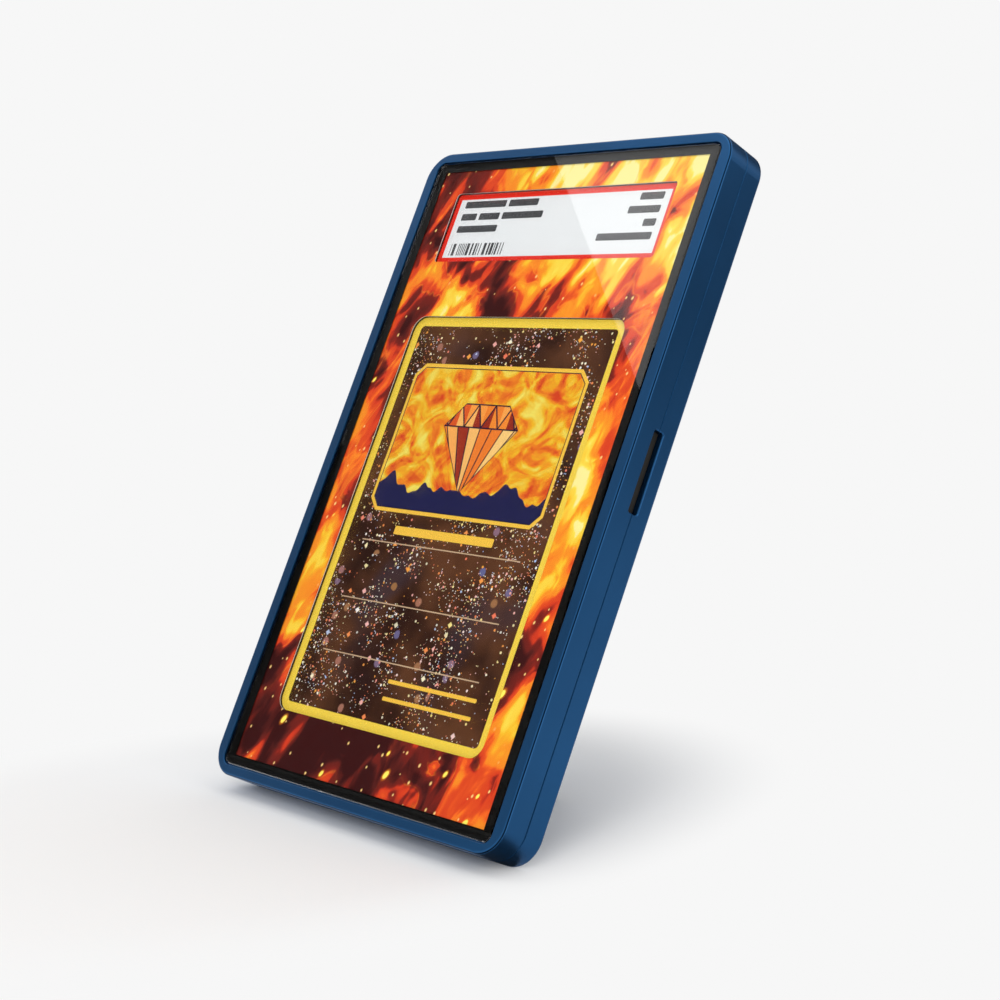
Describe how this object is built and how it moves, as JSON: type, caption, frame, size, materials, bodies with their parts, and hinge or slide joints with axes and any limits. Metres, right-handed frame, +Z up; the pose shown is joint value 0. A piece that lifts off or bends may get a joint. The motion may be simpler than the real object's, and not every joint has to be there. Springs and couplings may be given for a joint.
{
  "type": "trading card display case",
  "caption": "Slim metal display case for a graded trading card, with a glazed front that lifts off its magnets, a printed art insert and a folding kickstand.",
  "frame": {"origin": "bottom centre of the whole object's box, standing on its open kickstand", "axes": "+Z up, +X to the right of the case seen from its front, and the glazed front faces -Y, leaning back"},
  "size_m": [0.089, 0.0702, 0.1329],
  "materials": {
    "anodised_blue": "fine bead-blasted blue anodising, satin",
    "leg_blue": "spring steel with a satin blue coat",
    "window_glass": "clear polished glass",
    "mask_black": "black ink printed on the back of the glass",
    "tape_black": "black bonding tape",
    "art_print": "printed sheet in flame colours",
    "slab_clear": "clear moulded plastic",
    "label_paper": "white printed paper with a red border",
    "card_print": "foil-printed card with a yellow border",
    "magnet": "bright nickel plating",
    "steel": "plain steel",
    "black_rubber": "matt black silicone rubber",
    "black_foam": "black closed-cell foam"
  },
  "bodies": {
    "rear_half": {"rear_shell": "anodised_blue", "rear_magnets": "magnet", "dowel_pins": "steel", "cushion_ring": "black_rubber", "back_pad": "black_foam", "latch_magnet": "magnet", "pin_retainer": "steel", "retainer_screws": "steel", "hinge_pin": "steel", "hinge_washers": "steel"},
    "front_half": {"front_frame": "anodised_blue", "front_magnets": "magnet", "window_glass": "window_glass", "window_mask": "mask_black", "window_tape": "tape_black"},
    "art": {"art_insert": "art_print"},
    "slab": {"slab_front": "slab_clear", "slab_back": "slab_clear", "slab_label": "label_paper", "card": "card_print"},
    "stand": {"kickstand_leg": "leg_blue", "foot_cap": "black_rubber"}
  },
  "joints": [
    {"name": "front_lift", "type": "slide", "parent": "rear_half", "child": "front_half", "axis": [0, -0.9026, 0.4305], "range_m": [0, 0.06]},
    {"name": "art_lift", "type": "slide", "parent": "rear_half", "child": "art", "axis": [0, -0.9026, 0.4305], "range_m": [0, 0.045]},
    {"name": "slab_lift", "type": "slide", "parent": "rear_half", "child": "slab", "axis": [0, -0.9026, 0.4305], "range_m": [0, 0.03]},
    {"name": "kickstand_fold", "type": "hinge", "parent": "rear_half", "child": "stand", "pos_m": [0, -0.00049, 0.0562], "axis": [-1, 0, 0], "range_deg": [0, 37.9]}
  ],
  "couplings": [
    {"joint": "art_lift", "follows": "front_lift", "ratio": 0.75},
    {"joint": "slab_lift", "follows": "front_lift", "ratio": 0.5}
  ]
}
